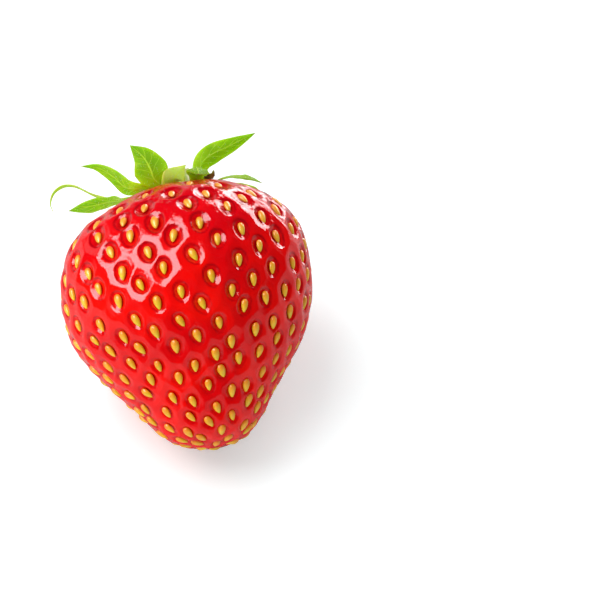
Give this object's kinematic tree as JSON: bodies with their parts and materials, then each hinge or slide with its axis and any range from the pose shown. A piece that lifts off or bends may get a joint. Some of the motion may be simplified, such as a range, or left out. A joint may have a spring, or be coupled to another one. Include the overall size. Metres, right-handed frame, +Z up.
{
  "type": "strawberry",
  "caption": "Whole ripe strawberry lying on its side on a small flat spot: conical red fruit with raised seeds, green calyx of pointed sepals and a short stalk stub.",
  "frame": {"origin": "middle of the small flat spot that the fruit rests on", "axes": "+Z up; the fruit's axis lies in the YZ plane, with the tip towards -Y and the calyx towards +Y, raised 26 degrees"},
  "size_m": [0.036, 0.0435, 0.035],
  "materials": {
    "flesh": "glossy wet-looking ripe skin",
    "achene": "glossy yellow-gold seed coat",
    "sepal_green": "soft satin leaf with pale veins and fine hairs",
    "hub_green": "satin leaf green",
    "stem_green": "satin pale green, browner at the broken end",
    "stamen_brown": "dry matt brown, for the stamens and the bract"
  },
  "bodies": {
    "root": {"bract_withered": "stamen_brown", "calyx_hub": "hub_green", "fruit": "flesh", "sepal_folded": "sepal_green", "sepal_front": "sepal_green", "sepal_left_arching": "sepal_green", "sepal_left_curled": "sepal_green", "sepal_left_low": "sepal_green", "sepal_right_flat": "sepal_green", "sepal_right_low": "sepal_green", "sepal_under_left": "sepal_green", "sepal_under_right": "sepal_green", "sepal_upright_left": "sepal_green", "sepal_upright_right": "sepal_green", "stamen_01": "stamen_brown", "stamen_02": "stamen_brown", "stamen_03": "stamen_brown", "stamen_04": "stamen_brown", "stamen_05": "stamen_brown", "stamen_06": "stamen_brown", "stamen_07": "stamen_brown", "stamen_08": "stamen_brown", "stamen_09": "stamen_brown", "stamen_10": "stamen_brown", "stamen_11": "stamen_brown", "stamen_12": "stamen_brown", "stem": "stem_green"}
  },
  "joints": []
}
